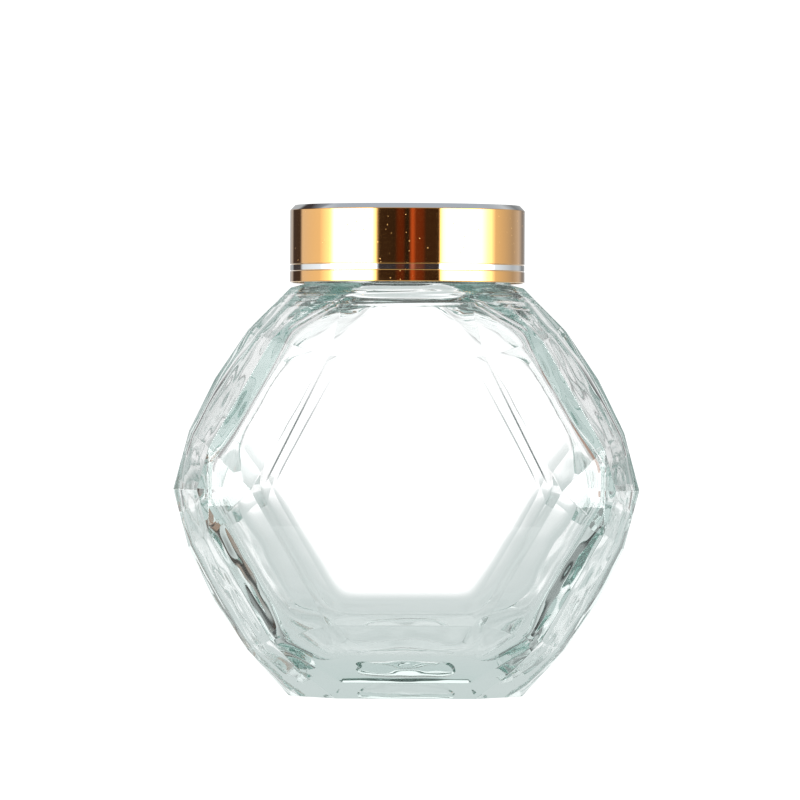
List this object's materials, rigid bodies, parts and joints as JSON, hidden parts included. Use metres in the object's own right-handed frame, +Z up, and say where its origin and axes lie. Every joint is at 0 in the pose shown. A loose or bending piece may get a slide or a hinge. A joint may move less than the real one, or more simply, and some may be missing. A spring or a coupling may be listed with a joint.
{
  "type": "hexagonal honey jar",
  "caption": "Empty clear glass honey jar with a flat hexagon at front and back, cut-style facets round it, a round neck and a plain gold screw lid.",
  "frame": {"origin": "middle of the flat foot, on the surface the jar stands on", "axes": "+Z up along the neck, +X across the wide side, -Y out of the front hexagon"},
  "size_m": [0.1248, 0.07, 0.1316],
  "materials": {
    "clear_glass": "clear, polished",
    "gold_aluminium": "gold anodised, polished"
  },
  "bodies": {
    "root": {"glass_jar": "clear_glass", "lid": "gold_aluminium"}
  },
  "joints": []
}
